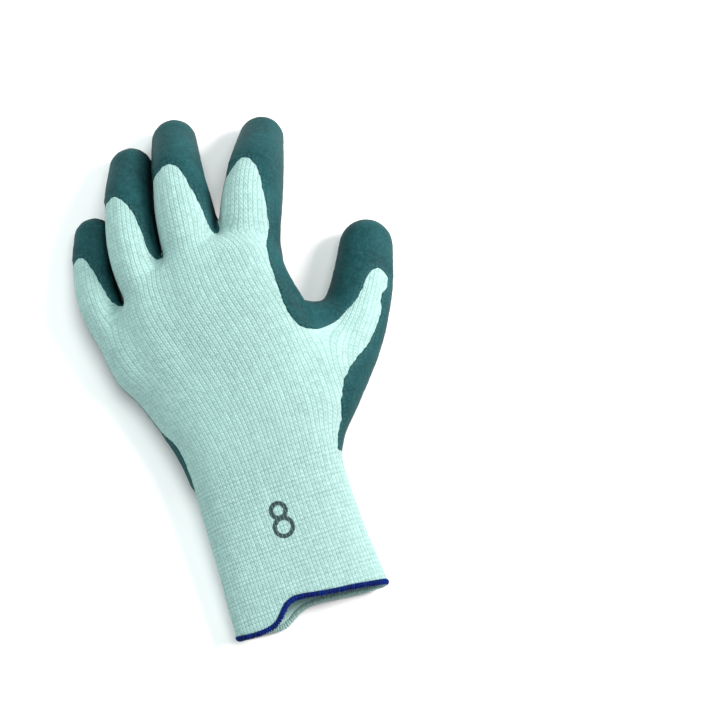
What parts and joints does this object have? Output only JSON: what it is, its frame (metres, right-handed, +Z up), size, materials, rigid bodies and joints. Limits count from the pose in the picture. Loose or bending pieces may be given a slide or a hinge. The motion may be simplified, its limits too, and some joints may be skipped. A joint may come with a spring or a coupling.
{
  "type": "insulated thermal glove",
  "caption": "Left-hand seamless knit thermal glove with a rubber-coated palm and fingers and an overlocked hem, resting palm down.",
  "frame": {"origin": "middle of the footprint, on the surface that the glove lies on", "axes": "+Y towards the fingertips, +X towards the thumb, +Z up, out of the back of the hand"},
  "size_m": [0.1484, 0.2448, 0.0495],
  "materials": {
    "knit": "soft heather knit",
    "coating": "crinkled satin rubber",
    "hem_thread": "matt overlock thread"
  },
  "bodies": {
    "root": {"knit_liner": "knit", "palm_coating": "coating", "hem_binding": "hem_thread"}
  },
  "joints": []
}
